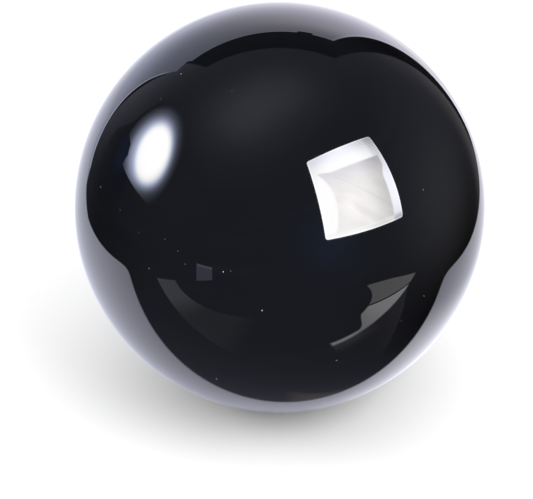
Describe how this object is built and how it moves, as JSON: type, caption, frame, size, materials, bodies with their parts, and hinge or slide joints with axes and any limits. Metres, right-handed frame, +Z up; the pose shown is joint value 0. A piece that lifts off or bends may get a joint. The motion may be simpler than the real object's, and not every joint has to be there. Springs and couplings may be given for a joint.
{
  "type": "polished obsidian sphere",
  "caption": "Solid ball of mirror-polished black volcanic glass, ground flat in one small spot underneath so that it stands without rolling.",
  "frame": {"origin": "middle of the ground flat spot, on the surface that the ball stands on", "axes": "+Z up from the flat spot through the ball's centre; the ball is round about +Z, so X and Y are free, and -Y is the side that the reference picture shows"},
  "size_m": [0.12, 0.12, 0.1195],
  "materials": {
    "obsidian": "mirror-polished black volcanic glass, opaque, with a refractive index near 1.5; the small flat spot underneath is ground and left satin"
  },
  "bodies": {
    "root": {"obsidian_sphere": "obsidian"}
  },
  "joints": []
}
